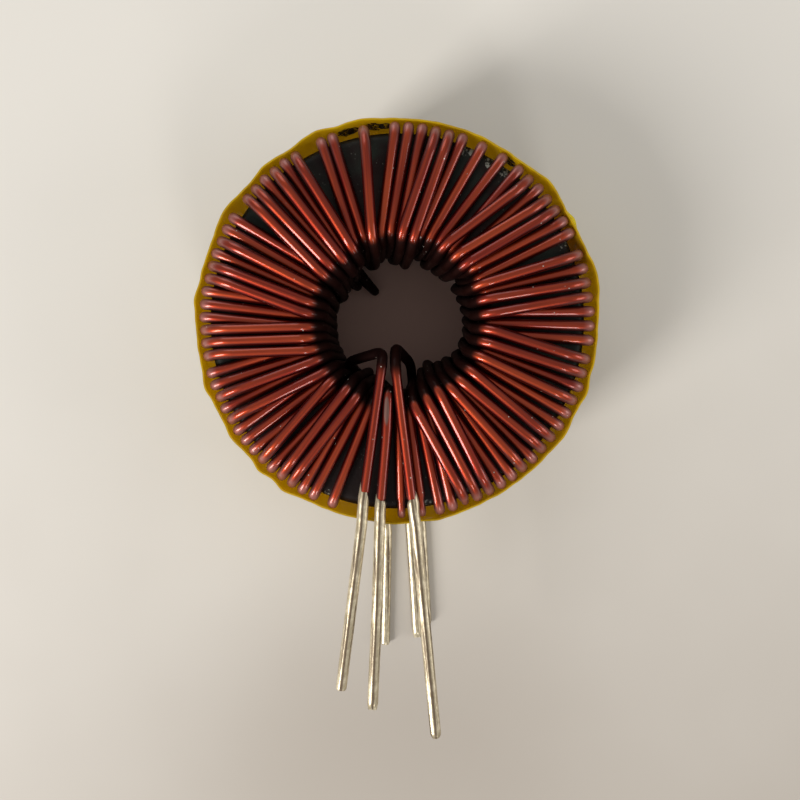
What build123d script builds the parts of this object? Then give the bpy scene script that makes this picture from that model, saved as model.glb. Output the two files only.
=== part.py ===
from build123d import *
import math
import os

# A toroidal inductor lying flat: a coated powder ring, three enamelled wires wound side by side
# through it, their six soldered ends, and a film tape round the outside of the winding.
# Millimetres. The origin is on the ring's axis at the resting plane, +Z is the ring's axis, and
# the wire ends point to -Y. A bearing is in degrees clockwise from +Y, seen from above.

# Ring core, with its coating
core_outer_r = 23.7
core_inner_r = 11.7
core_height = 18.2
core_edge_r = 1.2

# How far in from the outer edge a rider has reached the second layer
rider_lead_in = 1.6

# On its way up the hole each wire gains this bearing, so that it lies straight across the bottom
wall_lean = 10.0

# Enamelled wire; a second layer rides one layer step clear of the first
wire_r = 0.6
layer_step = 1.23
wire_sides = 6
strands = 3
on_core = 0
riding = 1

# On the hole's wall, where the wires crowd, each has this width; sharing it out settles in rounds
wall_pitch = 1.26
settle_rounds = 300

# Soldered wire ends
tin_r = 0.64
tip_cap = 0.3
tin_clearance = 0.04

# Film tape
tape_inner_r = 24.97
tape_thickness = 0.24
tape_bottom = 2.9
tape_height = 18.3
tape_facets = 80
# Its loose bulges: bearing of the middle, half width in degrees, height
tape_bulges = [
    (48, 6, 0.55), (77, 7, 0.5), (110, 3, 0.3), (124, 5, 0.25), (167, 4, 0.3), (180, 5, 0.25),
    (214, 3, 0.5), (223, 3, 0.4), (235, 3, 0.3), (252, 3, 0.4), (277, 4, 0.35), (303, 5, 0.5),
    (320, 4, 0.3), (337, 5, 0.5), (350, 4, 0.3),
]

# Levels: the bottom wires ride in two layers below the core, on the resting plane
lead_low_z = tin_r
core_z0 = lead_low_z + layer_step + wire_r
core_z1 = core_z0 + core_height
lead_high_z = core_z1 + 2 * wire_r + tin_r + tin_clearance

# The wire passes over the outer edge, in the order they were laid. Each bundle of neighbours has
# its first and last bearing, each wire's drift in degrees on its way in to the hole, and a mark
# for each wire: "^" rides up over its neighbours, "." lies on the core.
bundles = [
    (199.7, 199.7, [-2], "."),
    (205.9, 255.2, [-3, 0, -5, 0, 0, 4, 0, 1, -4, -4, 1, -2, -2, 1], "..^^.^...^.^.."),
    (260.4, 302.9, [-8, -3, -1, -1, -2, 0, -7, -4, -2, -2, 0, 2], "^^^...^^.^.."),
    (309.9, 328.8, [-6, -3, -1, -1, -1, 1], "^^.^.^"),
    (337.4, 340.9, [-4, -2], ".."),
    (350.3, 350.3, [-6], "^"),
    (359.5, 379.7, [-8, -8, -5, -8, -4, -2], "...^^."),
    (385.9, 392.7, [-6, -6], ".."),
    (398.6, 422.5, [-2, -11, -2, -9, -5, -4, -1], ".^.^^.."),
    (429.3, 454.9, [-4, -3, -3, 2, -2, -1, 0], "^.^^..."),
    (460.5, 490.5, [-7, -3, -2, -2, -2, -1, -4, 1], "^^.^..^^"),
    (494.6, 526.8, [0, 1, 0, 0, -3, 3, 9, 0, 0], ".^..^^^.."),
    (532.2, 544.8, [-2, -2, -2], "..."),
]

# Slack wires bow into the hole at its low end: the pass, counted from the first one laid, and the
# bow's radius, bearing and height. The wire rises there by twice bow_turn, leans by bow_lean
# degrees, and lies on the wall again at wall_height with wall_share of its lean to go.
bows = {32: (6.1, 325.0, 2.6), 30: (8.3, 313.5, 2.8)}
bow_turn = 0.9
bow_lean = 1.0
wall_height = core_z0 + core_height / 3
wall_share = 0.6

# Where each wire starts: its route under the winding, as (x, y), from the soldered end inward
low_leads = [
    [(4.85, -45.7), (3.9, -31.0), (2.5, -27.0)],
    [(2.79, -47.4), (1.7, -31.0), (0.1, -27.0)],
    [(-2.17, -48.5), (-1.8, -31.0), (-2.3, -27.0)],
]
low_entry_bearings = [175.3, 181.5, 187.9]

# Where each wire ends: loose in the hole as (radius, bearing, z), then out over the winding
high_arches = [
    [(9.6, 171.0, 5.5), (8.3, 166.0, 10.0), (5.4, 161.0, 14.0), (2.9, 184.0, 19.6), (5.4, 181.0, 22.6)],
    [(9.7, 182.0, 9.0), (9.3, 185.0, 18.0), (8.0, 187.0, 22.2)],
    [(8.5, 194.0, 5.8), (8.5, 219.0, 12.0), (8.1, 233.0, 16.5), (3.9, 207.0, 20.6), (5.3, 199.0, 22.6)],
]
high_leads = [
    [(0.9, -13.5), (2.1, -22.9), (2.45, -25.2), (5.05, -52.4)],
    [(-1.2, -13.5), (-2.0, -22.9), (-2.4, -35.4), (-3.03, -48.7)],
    [(-2.9, -13.5), (-4.1, -22.0), (-4.35, -25.4), (-7.0, -46.1)],
]
high_wall_bearings = [168.0, 178.0, 187.0]


def at(radius, bearing, z):
    """A point from its radius, its bearing in degrees and its height."""
    turn = math.radians(bearing)
    return (radius * math.sin(turn), radius * math.cos(turn), z)


def wound_passes():
    """Every pass as [outer bearing, inner bearing, layer], in the order the wires were laid."""
    passes = []
    for first, last, drifts, marks in bundles:
        step = (last - first) / max(len(drifts) - 1, 1)
        for place, (drift, mark) in enumerate(zip(drifts, marks)):
            outer = first + step * place
            passes.append([outer, outer + drift, riding if mark == "^" else on_core])
    for layer in (on_core, riding):
        spread([p for p in passes if p[2] == layer], wall_r(layer))
    return passes


def spread(row, radius):
    """Move the inner ends of one layer apart until each wire has its own width of wall."""
    width = math.degrees(wall_pitch / radius)
    for _ in range(settle_rounds):
        for a, b in zip(row, row[1:]):
            short = width - (b[1] - a[1])
            if short > 0:
                a[1] -= short / 2
                b[1] += short / 2


def wall_r(layer):
    """Radius of the wire's centre on the inner wall."""
    return core_inner_r - wire_r - layer * layer_step


def corner(layer, inner, top, bearing):
    """Two points that carry the wire round one rounded edge of the core, wall side first."""
    bend = core_edge_r + wire_r + layer * layer_step
    cut = bend * math.tan(math.pi / 8)
    side = 1 if inner else -1
    centre_r = (core_inner_r if inner else core_outer_r) + side * core_edge_r
    up = 1 if top else -1
    centre_z = (core_z1 if top else core_z0) - up * core_edge_r
    wall = at(centre_r - side * bend, bearing, centre_z + up * cut)
    face = at(centre_r - side * cut, bearing, centre_z + up * bend)
    return [wall, face]


def outer_corner(layer, top, bearing):
    """The outer edge's two points, wall side first; a rider rises as it comes over."""
    wall, face = corner(on_core, False, top, bearing)
    if layer == riding:
        up = 1 if top else -1
        level = (core_z1 if top else core_z0) + up * (wire_r + layer_step)
        face = at(core_outer_r - rider_lead_in, bearing, level)
    return [wall, face]


def strand_path(passes, first):
    """The centre line of one wire, from its low end to its high end."""
    own = passes[first::strands]
    path = [(x, y, lead_low_z) for x, y in low_leads[first]]
    path.append(corner(on_core, False, False, low_entry_bearings[first])[1])
    for place, (outer, inner, layer) in enumerate(own):
        wall, face = corner(layer, True, False, inner - wall_lean)
        path.append(face)
        if first + strands * place in bows:
            radius, bearing, level = bows[first + strands * place]
            path.append(at(radius + bow_turn / 2, bearing, level - bow_turn))
            path.append(at(radius, bearing + bow_lean, level + bow_turn))
            path.append(at(wall_r(layer), inner - wall_share * wall_lean, wall_height))
        else:
            path.append(wall)
        path += corner(layer, True, True, inner)
        path += reversed(outer_corner(layer, True, outer))
        rises = own[place + 1][2] if place + 1 < len(own) else riding
        path += outer_corner(rises, False, outer)
    path += reversed(corner(riding, True, False, high_wall_bearings[first]))
    path += [at(*p) for p in high_arches[first]]
    path += [(*p, lead_high_z) for p in high_leads[first]]
    return path


def wire_solid(path):
    """One wire: its many-sided section carried along the centre line, mitred at each turn."""
    points = [Vector(*p) for p in path]
    runs = [(b - a).normalized() for a, b in zip(points, points[1:])]
    start = Plane(origin=points[0], z_dir=runs[0])
    turns = [2 * math.pi * n / wire_sides for n in range(wire_sides)]
    ring = [start.from_local_coords((wire_r * math.cos(t), wire_r * math.sin(t), 0)) for t in turns]
    faces = [Face(Wire.make_polygon(ring))]
    for place, run in enumerate(runs):
        mitre = run + runs[min(place + 1, len(runs) - 1)]
        reach = [(points[place + 1] - p).dot(mitre) / run.dot(mitre) for p in ring]
        ahead = [p + run * length for p, length in zip(ring, reach)]
        for n in range(wire_sides):
            m = (n + 1) % wire_sides
            faces.append(Face(Wire.make_polygon([ring[n], ring[m], ahead[m], ahead[n]])))
        ring = ahead
    faces.append(Face(Wire.make_polygon(ring)))
    return Solid(Shell(faces))


def ring_core():
    """The coated ring; each of its edges has a flat as deep as its round, so the wires lie on it."""
    ring = Cylinder(core_outer_r, core_height) - Cylinder(core_inner_r, core_height)
    flat = core_edge_r * (2 - math.sqrt(2))
    ring = chamfer(ring.edges().filter_by(GeomType.CIRCLE), flat)
    return Pos(0, 0, core_z0 + core_height / 2) * ring


def tinned_end(line, wire):
    """Solder round a wire's last stretch, closed over its tip, less the wire inside it."""
    points = [Vector(*p) for p in line]
    along = (points[-1] - points[-2]).normalized()
    points[-1] += along * tip_cap
    path = Polyline(*points)
    section = Plane(origin=points[0], z_dir=path % 0) * Circle(tin_r)
    return sweep(section, path=path, transition=Transition.RIGHT) - wire


def tape_radius(bearing):
    """Inside radius of the tape: round where it is taut, and fuller at each loose bulge."""
    radius = tape_inner_r
    for middle, width, height in tape_bulges:
        away = (bearing - middle + 180) % 360 - 180
        radius += height * math.exp(-((away / width) ** 2))
    return radius


def outer_tape():
    """The film tape round the outer wires."""
    bearings = [360 * n / tape_facets for n in range(tape_facets)]
    inside = [at(tape_radius(b), b, tape_bottom) for b in bearings]
    outside = [at(tape_radius(b) + tape_thickness, b, tape_bottom) for b in bearings]
    wall = make_face(Polyline(*outside, close=True)) - make_face(Polyline(*inside, close=True))
    return extrude(wall, amount=tape_height, dir=(0, 0, 1))


def main():
    """Build every piece and write it to its own file."""
    os.makedirs("parts", exist_ok=True)
    passes = wound_passes()
    pieces = {"ring_core": ring_core(), "outer_tape": outer_tape()}
    for number, letter in enumerate("abc"):
        path = strand_path(passes, number)
        wire = wire_solid(path)
        pieces[f"wire_strand_{letter}"] = wire
        pieces[f"tinned_end_low_{letter}"] = tinned_end([path[1], path[0]], wire)
        pieces[f"tinned_end_high_{letter}"] = tinned_end(path[-3:], wire)
    for name, solid in pieces.items():
        export_step(solid, f"parts/{name}.step")


main()
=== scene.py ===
"""A toroidal inductor lying flat: its finishes, its round wires and the studio around it.

Lengths in the classes are millimetres, turned into metres where a mesh is written. A bearing is in
degrees clockwise from +Y, seen from above. The ring's axis is Z and the wire ends point to -Y.
"""

from __future__ import annotations

import logging
import math
from dataclasses import dataclass
from enum import Enum

import bpy
import numpy as np
from mathutils import Matrix, Vector

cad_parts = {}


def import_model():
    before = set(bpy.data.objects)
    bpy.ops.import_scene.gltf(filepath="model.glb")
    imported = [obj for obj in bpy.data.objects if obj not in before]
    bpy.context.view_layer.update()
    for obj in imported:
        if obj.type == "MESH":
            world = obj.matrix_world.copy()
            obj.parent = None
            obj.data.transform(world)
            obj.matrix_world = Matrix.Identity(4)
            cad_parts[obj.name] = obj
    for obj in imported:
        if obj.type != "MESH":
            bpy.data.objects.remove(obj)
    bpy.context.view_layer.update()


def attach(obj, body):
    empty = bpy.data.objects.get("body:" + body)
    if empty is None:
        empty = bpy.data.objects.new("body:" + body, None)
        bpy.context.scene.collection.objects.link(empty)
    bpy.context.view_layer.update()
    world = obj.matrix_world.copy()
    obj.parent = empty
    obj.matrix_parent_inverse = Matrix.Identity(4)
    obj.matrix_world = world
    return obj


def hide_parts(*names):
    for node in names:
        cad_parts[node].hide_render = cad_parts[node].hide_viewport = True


LOG = logging.getLogger("toroid")
MM = 0.001
SHARP_ANGLE = 0.7
CURVE_SHARE = 0.46
Array = np.ndarray
Point = tuple[float, float, float]
Colour = tuple[float, float, float]
Span = tuple[float, float]
Weights = tuple[float, ...]


class Layer(Enum):
    """The layer that a turn of wire lies in."""

    ON_CORE = 0
    RIDING = 1


class Cut(Enum):
    """How a wire end was cut."""

    SQUARE = "square"
    SNIPPED = "snipped"
    ROUND = "round"


def at(radius: Array | float, bearing: Array | float, z: Array | float) -> Array:
    """Points, (..., 3), from radius, bearing and height."""
    turn = np.radians(bearing)
    return np.stack(np.broadcast_arrays(radius * np.sin(turn), radius * np.cos(turn), z), axis=-1)


def heading(start: Array, end: Array) -> Array:
    """Unit vector from one point to another."""
    return (end - start) / np.linalg.norm(end - start)


def travelled(line: Array) -> Array:
    """Distance along a line to each of its points."""
    return np.concatenate([[0], np.cumsum(np.linalg.norm(np.diff(line, axis=0), axis=1))])


class Socket:
    """A shader socket that takes part in Python arithmetic."""

    def __init__(self, shader: Shader, link: bpy.types.NodeSocket) -> None:
        """Keep the socket and the shader that it belongs to."""
        self.shader = shader
        self.link = link

    def _math(self, operation: str, *values: Socket | float) -> Socket:
        """Add one Math node with these inputs."""
        return self.shader.node("ShaderNodeMath", {"operation": operation}, dict(enumerate(values)))

    def __add__(self, other: Socket | float) -> Socket:
        """Sum."""
        return self._math("ADD", self, other)

    def __sub__(self, other: Socket | float) -> Socket:
        """Difference."""
        return self._math("SUBTRACT", self, other)

    def __rsub__(self, other: float) -> Socket:
        """Difference from a number."""
        return self._math("SUBTRACT", other, self)

    def __mul__(self, other: Socket | float) -> Socket:
        """Product."""
        return self._math("MULTIPLY", self, other)

    __radd__ = __add__
    __rmul__ = __mul__

    def ramp(self, low: float, high: float) -> Socket:
        """Rise smoothly from 0 at low to 1 at high."""
        settings = {"interpolation_type": "SMOOTHSTEP"}
        return self.shader.node("ShaderNodeMapRange", settings, {"Value": self, 1: low, 2: high})


def weighted(parts: tuple[Socket, ...], weights: Weights, base: float = 0.0) -> Socket:
    """A base value plus each part times its weight."""
    return sum((part * weight for part, weight in zip(parts, weights)), base)


class Shader:
    """One material and the calls that fill its node tree."""

    mark_fade: Span = (0.7, 1.0)
    dot_core: float = 0.6
    gather_scale: float = 0.5
    gather_fade: float = 0.03

    def __init__(self, name: str) -> None:
        """Start a material with one Principled surface.

        Args:
            name: the material's name.
        """
        self.material = bpy.data.materials.new(name)
        self.material.use_nodes = True
        self.tree = self.material.node_tree
        self.surface = self.tree.nodes["Principled BSDF"]

    def node(self, kind: str, settings: dict[str, object], inputs: dict, output: int | str = 0) -> Socket:
        """Add a node.

        Args:
            kind: the node's type.
            settings: its own properties, set first.
            inputs: values or links, by socket name or number.
            output: the output to return.

        Returns:
            The chosen output.
        """
        made = self.tree.nodes.new(kind)
        for key, value in settings.items():
            setattr(made, key, value)
        for key, value in inputs.items():
            self.feed(made.inputs[key], value)
        return Socket(self, made.outputs[output])

    def feed(self, socket: bpy.types.NodeSocket, value: object) -> None:
        """Link a socket, or set its value.

        Args:
            socket: the input to fill.
            value: another socket, a number or a colour.
        """
        if isinstance(value, Socket):
            self.tree.links.new(value.link, socket)
        elif isinstance(value, tuple) and len(value) == 3 and socket.type == "RGBA":
            socket.default_value = (*value, 1.0)
        else:
            socket.default_value = value

    def place(self, stretch: Point = (1.0, 1.0, 1.0)) -> Socket:
        """Object coordinates in millimetres.

        Args:
            stretch: their scale along each axis.

        Returns:
            The coordinates.
        """
        start = self.node("ShaderNodeTexCoord", {}, {}, "Object")
        scale = tuple(s / MM for s in stretch)
        return self.node("ShaderNodeMapping", {}, {"Vector": start, "Scale": scale})

    def along(self, stretch: Point = (1.0, 1.0, 1.0)) -> Socket:
        """The piece's own UV map, which runs round it and along it, stretched."""
        start = self.node("ShaderNodeUVMap", {"uv_map": "run"}, {})
        return self.node("ShaderNodeMapping", {}, {"Vector": start, "Scale": stretch})

    def part(self, place: Socket, axis: str) -> Socket:
        """One coordinate of a place."""
        return self.node("ShaderNodeSeparateXYZ", {}, {0: place}, axis)

    def vector(self, operation: str, *values: Socket | Point, output: int | str = 0) -> Socket:
        """Add one Vector Math node with these inputs."""
        return self.node("ShaderNodeVectorMath", {"operation": operation}, dict(enumerate(values)), output)

    def axis_distance(self) -> Socket:
        """Distance from the ring's axis, in millimetres."""
        return self.vector("LENGTH", self.place((1.0, 1.0, 0.0)), output="Value")

    def distance(self, spot: Point, reach: Point) -> Socket:
        """Distance from a spot, where 1 is the edge of an ellipsoid round it with these half sizes."""
        moved = self.vector("SUBTRACT", self.place(), spot)
        return self.vector("LENGTH", self.vector("DIVIDE", moved, reach), output="Value")

    def near(self, spot: Point, reach: Point) -> Socket:
        """1 at a spot, fading to 0 at the edge of an ellipsoid round it."""
        return 1.0 - self.distance(spot, reach).ramp(*self.mark_fade)

    def marks(self, radius: float, places: tuple[Weights, ...]) -> Socket:
        """Soft marks on one circle round the axis, summed.

        Args:
            radius: the circle's radius.
            places: each mark's bearing, height, half width and half height.

        Returns:
            1 or more within a mark.
        """
        total = None
        for bearing, z, wide, tall in places:
            one = self.near(tuple(at(radius, bearing, z).tolist()), (wide, wide, tall))
            total = one if total is None else total + one
        return total

    def flank(self) -> Socket:
        """How far round a tube a point is from the side that faces away from the core, 0 to 0.5."""
        around = self.part(self.along(), "X")
        return self.node("ShaderNodeMath", {"operation": "ABSOLUTE"}, {0: around - 0.5})

    def noise(self, place: Socket, scale: float = 1.0, detail: float = 3.0, rough: float = 0.5) -> Socket:
        """Soft noise between 0 and 1, with features of 1 / scale and this many octaves."""
        inputs = {"Vector": place, "Scale": scale, "Detail": detail, "Roughness": rough}
        return self.node("ShaderNodeTexNoise", {}, inputs, "Fac")

    def spots(self, place: Socket, scale: float) -> Socket:
        """Distance, in cells of 1 / scale, to the nearest of many scattered points."""
        return self.node("ShaderNodeTexVoronoi", {}, {"Vector": place, "Scale": scale}, "Distance")

    def specks(self, scale: float, size: float, rare: float) -> Socket:
        """Tiny scattered dots, gathered where a broad noise is high.

        Args:
            scale: possible dots in each millimetre.
            size: a dot's radius, in cells.
            rare: the noise level above which there are dots.

        Returns:
            1 on a dot.
        """
        dots = 1.0 - self.spots(self.place(), scale).ramp(size * self.dot_core, size)
        gather = self.noise(self.place(), self.gather_scale, detail=1.0)
        return dots * gather.ramp(rare - self.gather_fade, rare + self.gather_fade)

    def blend(self, share: Socket, low: Socket | Colour, high: Socket | Colour) -> Socket:
        """Mix two colours, where a share of 0 gives low and 1 gives high."""
        return self.node("ShaderNodeMix", {"data_type": "RGBA"}, {0: share, 6: low, 7: high}, 2)

    def bump(self, height: Socket, depth: float, strength: float) -> None:
        """Shape the normal by a relief between 0 and 1 of this depth in millimetres."""
        inputs = {"Height": height, "Distance": depth * MM, "Strength": strength}
        self.finish({"Normal": self.node("ShaderNodeBump", {}, inputs)})

    def let_light_through(self, share: Socket, tint: Colour) -> None:
        """Mix in light that comes through a thin sheet.

        Args:
            share: how much of the surface is that light.
            tint: its colour.
        """
        through = self.node("ShaderNodeBsdfTranslucent", {}, {"Color": tint})
        surface = Socket(self, self.surface.outputs[0])
        mixed = self.node("ShaderNodeMixShader", {}, {0: share, 1: surface, 2: through})
        self.feed(self.tree.nodes["Material Output"].inputs["Surface"], mixed)

    def finish(self, inputs: dict[str, object]) -> None:
        """Fill sockets of the surface with values or links, by name."""
        for key, value in inputs.items():
            self.feed(self.surface.inputs[key], value)


@dataclass(frozen=True)
class EnamelFinish:
    """Red-brown lacquer over copper wire.

    In all finishes a Span is where a ramp starts and ends, a stretch is a noise's scale along each
    coordinate, weights belong to a sum's parts, and a relief is its depth and strength.
    """

    deep: Colour = (0.19, 0.010, 0.004)
    bright: Colour = (0.40, 0.053, 0.011)
    turn_stretch: Point = (0.4, 0.045, 1.0)
    draw_stretch: Point = (16.0, 0.10, 1.0)
    tone_weights: Weights = (0.7, 0.5)
    tone: Span = (0.35, 0.85)
    scuff_scale: float = 1.7
    scuff: Span = (0.57, 0.72)
    # Painted shade: each wire's flanks are painted darker than its crest, as the light falls off round it.
    edge: Colour = (0.085, 0.0015, 0.002)
    crest: Span = (0.045, 0.135)
    flank_shade_share: float = 0.92
    # Painted reflection: a pale mauve sky reflection painted on the outer bends and on the flanks near
    # them.
    bend_sheen: Colour = (0.30, 0.12, 0.105)
    bend_r: Span = (23.0, 24.3)
    bend_share: float = 0.75
    flank_r: Span = (18.5, 23.0)
    flank_share: float = 0.3
    # Painted shade: near black on the wire inside the hole and on the lead arches near the axis.
    shade_and_varnish: Colour = (0.007, 0.0015, 0.001)
    rim: Span = (27.6, 29.4)
    rim_slope: float = 0.8
    rim_top: Span = (22.5, 22.9)
    arch_r: Span = (5.0, 7.2)
    hole_share: float = 0.97
    # A pale greyish patch on the middle wire's run into the hole.
    other_tone: Colour = (0.20, 0.15, 0.13)
    pale_spot: Point = (-1.2, -10.4, 23.2)
    pale_spot_reach: Point = (0.45, 2.4, 0.5)
    pale_spot_share: float = 0.7
    # Painted glints: tiny pale specks on the wire.
    painted_glint: Colour = (0.55, 0.50, 0.45)
    glint_marks: Point = (1.1, 0.11, 0.6)
    roughness: float = 0.35
    rough_weights: Weights = (0.1, 0.1, 0.1, 0.3)
    metallic: float = 0.9
    metal_weights: Weights = (-0.5, -0.4)
    coat: float = 0.55
    coat_weights: Weights = (-0.2, -0.5)
    coat_roughness: float = 0.05
    relief_weights: Weights = (0.4, 0.6)
    relief: Span = (0.02, 0.15)

    def material(self) -> bpy.types.Material:
        """Tone drifts from turn to turn and fine draw marks run along the wire; painted shade darkens the
        flanks and the hole, a painted sheen lies on the outer bends, and there are painted glints.

        Returns:
            The material.
        """
        shader = Shader("enamelled_wire")
        turns = shader.noise(shader.along(self.turn_stretch), detail=2.0)
        draw_marks = shader.noise(shader.along(self.draw_stretch), detail=2.0)
        scuffs = shader.noise(shader.place(), self.scuff_scale, detail=4.0, rough=0.65).ramp(*self.scuff)
        out = shader.axis_distance()
        level = shader.part(shader.place(), "Z")
        # Painted shade: flank marks each wire's sides, which are painted dark.
        flank = shader.flank().ramp(*self.crest)
        # Painted reflection: a pale sky sheen on the outer bends, and on the flanks further out.
        bend = out.ramp(*self.bend_r) * self.bend_share
        sheen_mask = bend + out.ramp(*self.flank_r) * flank * (1.0 - bend) * self.flank_share
        # Painted shade: the hole's wall below the rim, and the lead arches near the axis, are painted near
        # black.
        over_rim = (out + level * self.rim_slope).ramp(*self.rim)
        wall = (1.0 - over_rim) * (1.0 - level.ramp(*self.rim_top))
        arch = 1.0 - out.ramp(*self.arch_r)
        hole = wall + arch * (1.0 - wall)
        # A pale greyish patch on the middle wire.
        other_tone = shader.near(self.pale_spot, self.pale_spot_reach) * self.pale_spot_share
        # Painted glints: tiny pale specks, less metallic, scattered in patches.
        specks = shader.specks(*self.glint_marks)
        tone = weighted((turns, draw_marks), self.tone_weights).ramp(*self.tone)
        base = shader.blend(tone, self.deep, self.bright)
        base = shader.blend(flank * self.flank_shade_share, base, self.edge)
        base = shader.blend(sheen_mask, base, self.bend_sheen)
        base = shader.blend(hole * self.hole_share, base, self.shade_and_varnish)
        base = shader.blend(other_tone, base, self.other_tone)
        roughened = (draw_marks, scuffs, bend, hole)
        shader.finish(
            {
                "Base Color": shader.blend(specks, base, self.painted_glint),
                "Roughness": weighted(roughened, self.rough_weights, self.roughness),
                "Metallic": weighted((bend, specks), self.metal_weights, self.metallic),
                "Coat Weight": weighted((scuffs, hole), self.coat_weights, self.coat),
                "Coat Roughness": self.coat_roughness,
            }
        )
        shader.bump(weighted((draw_marks, turns), self.relief_weights), *self.relief)
        return shader.material


@dataclass(frozen=True)
class SolderFinish:
    """Dull tin with brown flux streaks along the wire, and a painted dark reflection along its top."""

    tin: Colour = (0.46, 0.39, 0.26)
    shine: Colour = (0.72, 0.64, 0.47)
    lump_stretch: Point = (4.0, 0.8, 1.0)
    shining: Span = (0.35, 0.7)
    # Brown flux streaks, and along the top a painted dark reflection of what is above the wire.
    flux_stain_and_dark_reflection: Colour = (0.075, 0.042, 0.024)
    streak_stretch: Point = (7.0, 0.09, 1.0)
    ridge_stretch: Point = (9.0, 0.03, 1.0)
    crest: Span = (0.02, 0.06)
    crest_break: Span = (0.75, 0.95)
    flux_weights: Weights = (0.6, 0.4)
    flux: Span = (0.50, 0.58)
    flux_lumps: Span = (0.28, 0.5)
    stain_share: float = 0.85
    metallic: float = 0.7
    roughness: float = 0.2
    rough_weights: Weights = (0.3, 0.15)
    relief_weights: Weights = (0.7, 0.3)
    relief: Span = (0.07, 0.8)

    def material(self) -> bpy.types.Material:
        """Flux streaks follow the wire, a painted dark reflection runs along its top, and a lumpy skin
        breaks up its shine.

        Returns:
            The material.
        """
        shader = Shader("solder")
        streaks = shader.noise(shader.along(self.streak_stretch), detail=4.0, rough=0.6)
        lumps = shader.noise(shader.along(self.lump_stretch), detail=4.0, rough=0.62)
        ridge = shader.noise(shader.along(self.ridge_stretch), detail=1.0)
        # Painted reflection: a broken dark line along the top of the wire.
        crest = (1.0 - shader.flank().ramp(*self.crest)) * (streaks + ridge).ramp(*self.crest_break)
        flux = weighted((streaks, ridge), self.flux_weights).ramp(*self.flux)
        flux = flux * lumps.ramp(*self.flux_lumps)
        flux = flux + crest * (1.0 - flux)
        base = shader.blend(lumps.ramp(*self.shining), self.tin, self.shine)
        shader.finish(
            {
                "Base Color": shader.blend(flux * self.stain_share, base, self.flux_stain_and_dark_reflection),
                "Metallic": self.metallic,
                "Roughness": weighted((lumps, flux), self.rough_weights, self.roughness),
            }
        )
        shader.bump(weighted((lumps, streaks), self.relief_weights), *self.relief)
        return shader.material


@dataclass(frozen=True)
class CoatingFinish:
    """Dark greenish-grey epoxy coat with dust, dried varnish, painted shade towards the hole, and chips
    and painted glints on the lip at (bearing, reach).
    """

    coat: Colour = (0.0085, 0.0125, 0.009)
    peel_scale: float = 1.6
    patch_scale: float = 0.22
    dust: Colour = (0.09, 0.095, 0.08)
    dust_scale: float = 1.9
    dust_dot: Span = (0.08, 0.2)
    dust_patch: Span = (0.45, 0.65)
    dust_share: float = 0.8
    # Dried varnish in patches, painted shade towards the hole, and a darker patch towards -Y.
    shade_and_varnish: Colour = (0.007, 0.0012, 0.001)
    hole_shade_r: Span = (15.5, 20.5)
    dark_spot: Point = (0.0, -17.0, 20.7)
    dark_spot_reach: Point = (24.0, 13.0, 8.0)
    dark_spot_share: float = 0.9
    varnish_patch: Span = (0.4, 0.7)
    # Pale marks on the lip: chips, and painted glints at 144.5, 170 and 202 degrees.
    chip_and_glint: Colour = (0.20, 0.20, 0.17)
    lip_mark_scale: float = 2.6
    lip_mark_edge: Span = (0.5, 0.6)
    lip_r: float = 23.2
    lip_z: float = 20.4
    chips_and_glints: tuple[Span, ...] = (
        (22.0, 1.3), (25.0, 0.9), (31.0, 1.4), (35.5, 1.2),
        (64.5, 1.1), (144.5, 0.7), (170.0, 0.8), (202.0, 0.7),
    )
    roughness: float = 0.3
    rough_weights: Weights = (0.25, 0.15)
    specular: float = 0.17
    relief_weights: Weights = (1.0, 0.4)
    relief: Span = (0.06, 0.7)

    def material(self) -> bpy.types.Material:
        """A fine orange-peel skin, pale dust in specks, dark varnish in patches, painted shade towards the
        hole and a darker patch towards -Y.

        Returns:
            The material.
        """
        shader = Shader("core_coating")
        place = shader.place()
        peel = shader.noise(place, self.peel_scale, detail=4.0, rough=0.6)
        patches = shader.noise(place, self.patch_scale)
        specks = 1.0 - shader.spots(place, self.dust_scale).ramp(*self.dust_dot)
        dust = specks * patches.ramp(*self.dust_patch)
        # Painted shade: darker towards the hole, where the gaps between wires narrow; a broad darker patch
        # towards -Y is added to it.
        inward = 1.0 - shader.axis_distance().ramp(*self.hole_shade_r)
        spot = shader.near(self.dark_spot, self.dark_spot_reach)
        inward = inward + spot * (1.0 - inward) * self.dark_spot_share
        spread = patches.ramp(*self.varnish_patch)
        base = shader.blend(inward + spread * (1.0 - inward), self.coat, self.shade_and_varnish)
        # Pale marks on the lip: chips, and painted glints.
        places = tuple((bearing, self.lip_z, reach, reach) for bearing, reach in self.chips_and_glints)
        ragged = shader.noise(place, self.lip_mark_scale, rough=0.7)
        chips_and_glints = (shader.marks(self.lip_r, places) * ragged).ramp(*self.lip_mark_edge)
        base = shader.blend(chips_and_glints, base, self.chip_and_glint)
        shader.finish(
            {
                "Base Color": shader.blend(dust * self.dust_share, base, self.dust),
                "Roughness": weighted((peel, patches), self.rough_weights, self.roughness),
                "Specular IOR Level": self.specular,
            }
        )
        shader.bump(weighted((peel, dust), self.relief_weights), *self.relief)
        return shader.material


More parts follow.
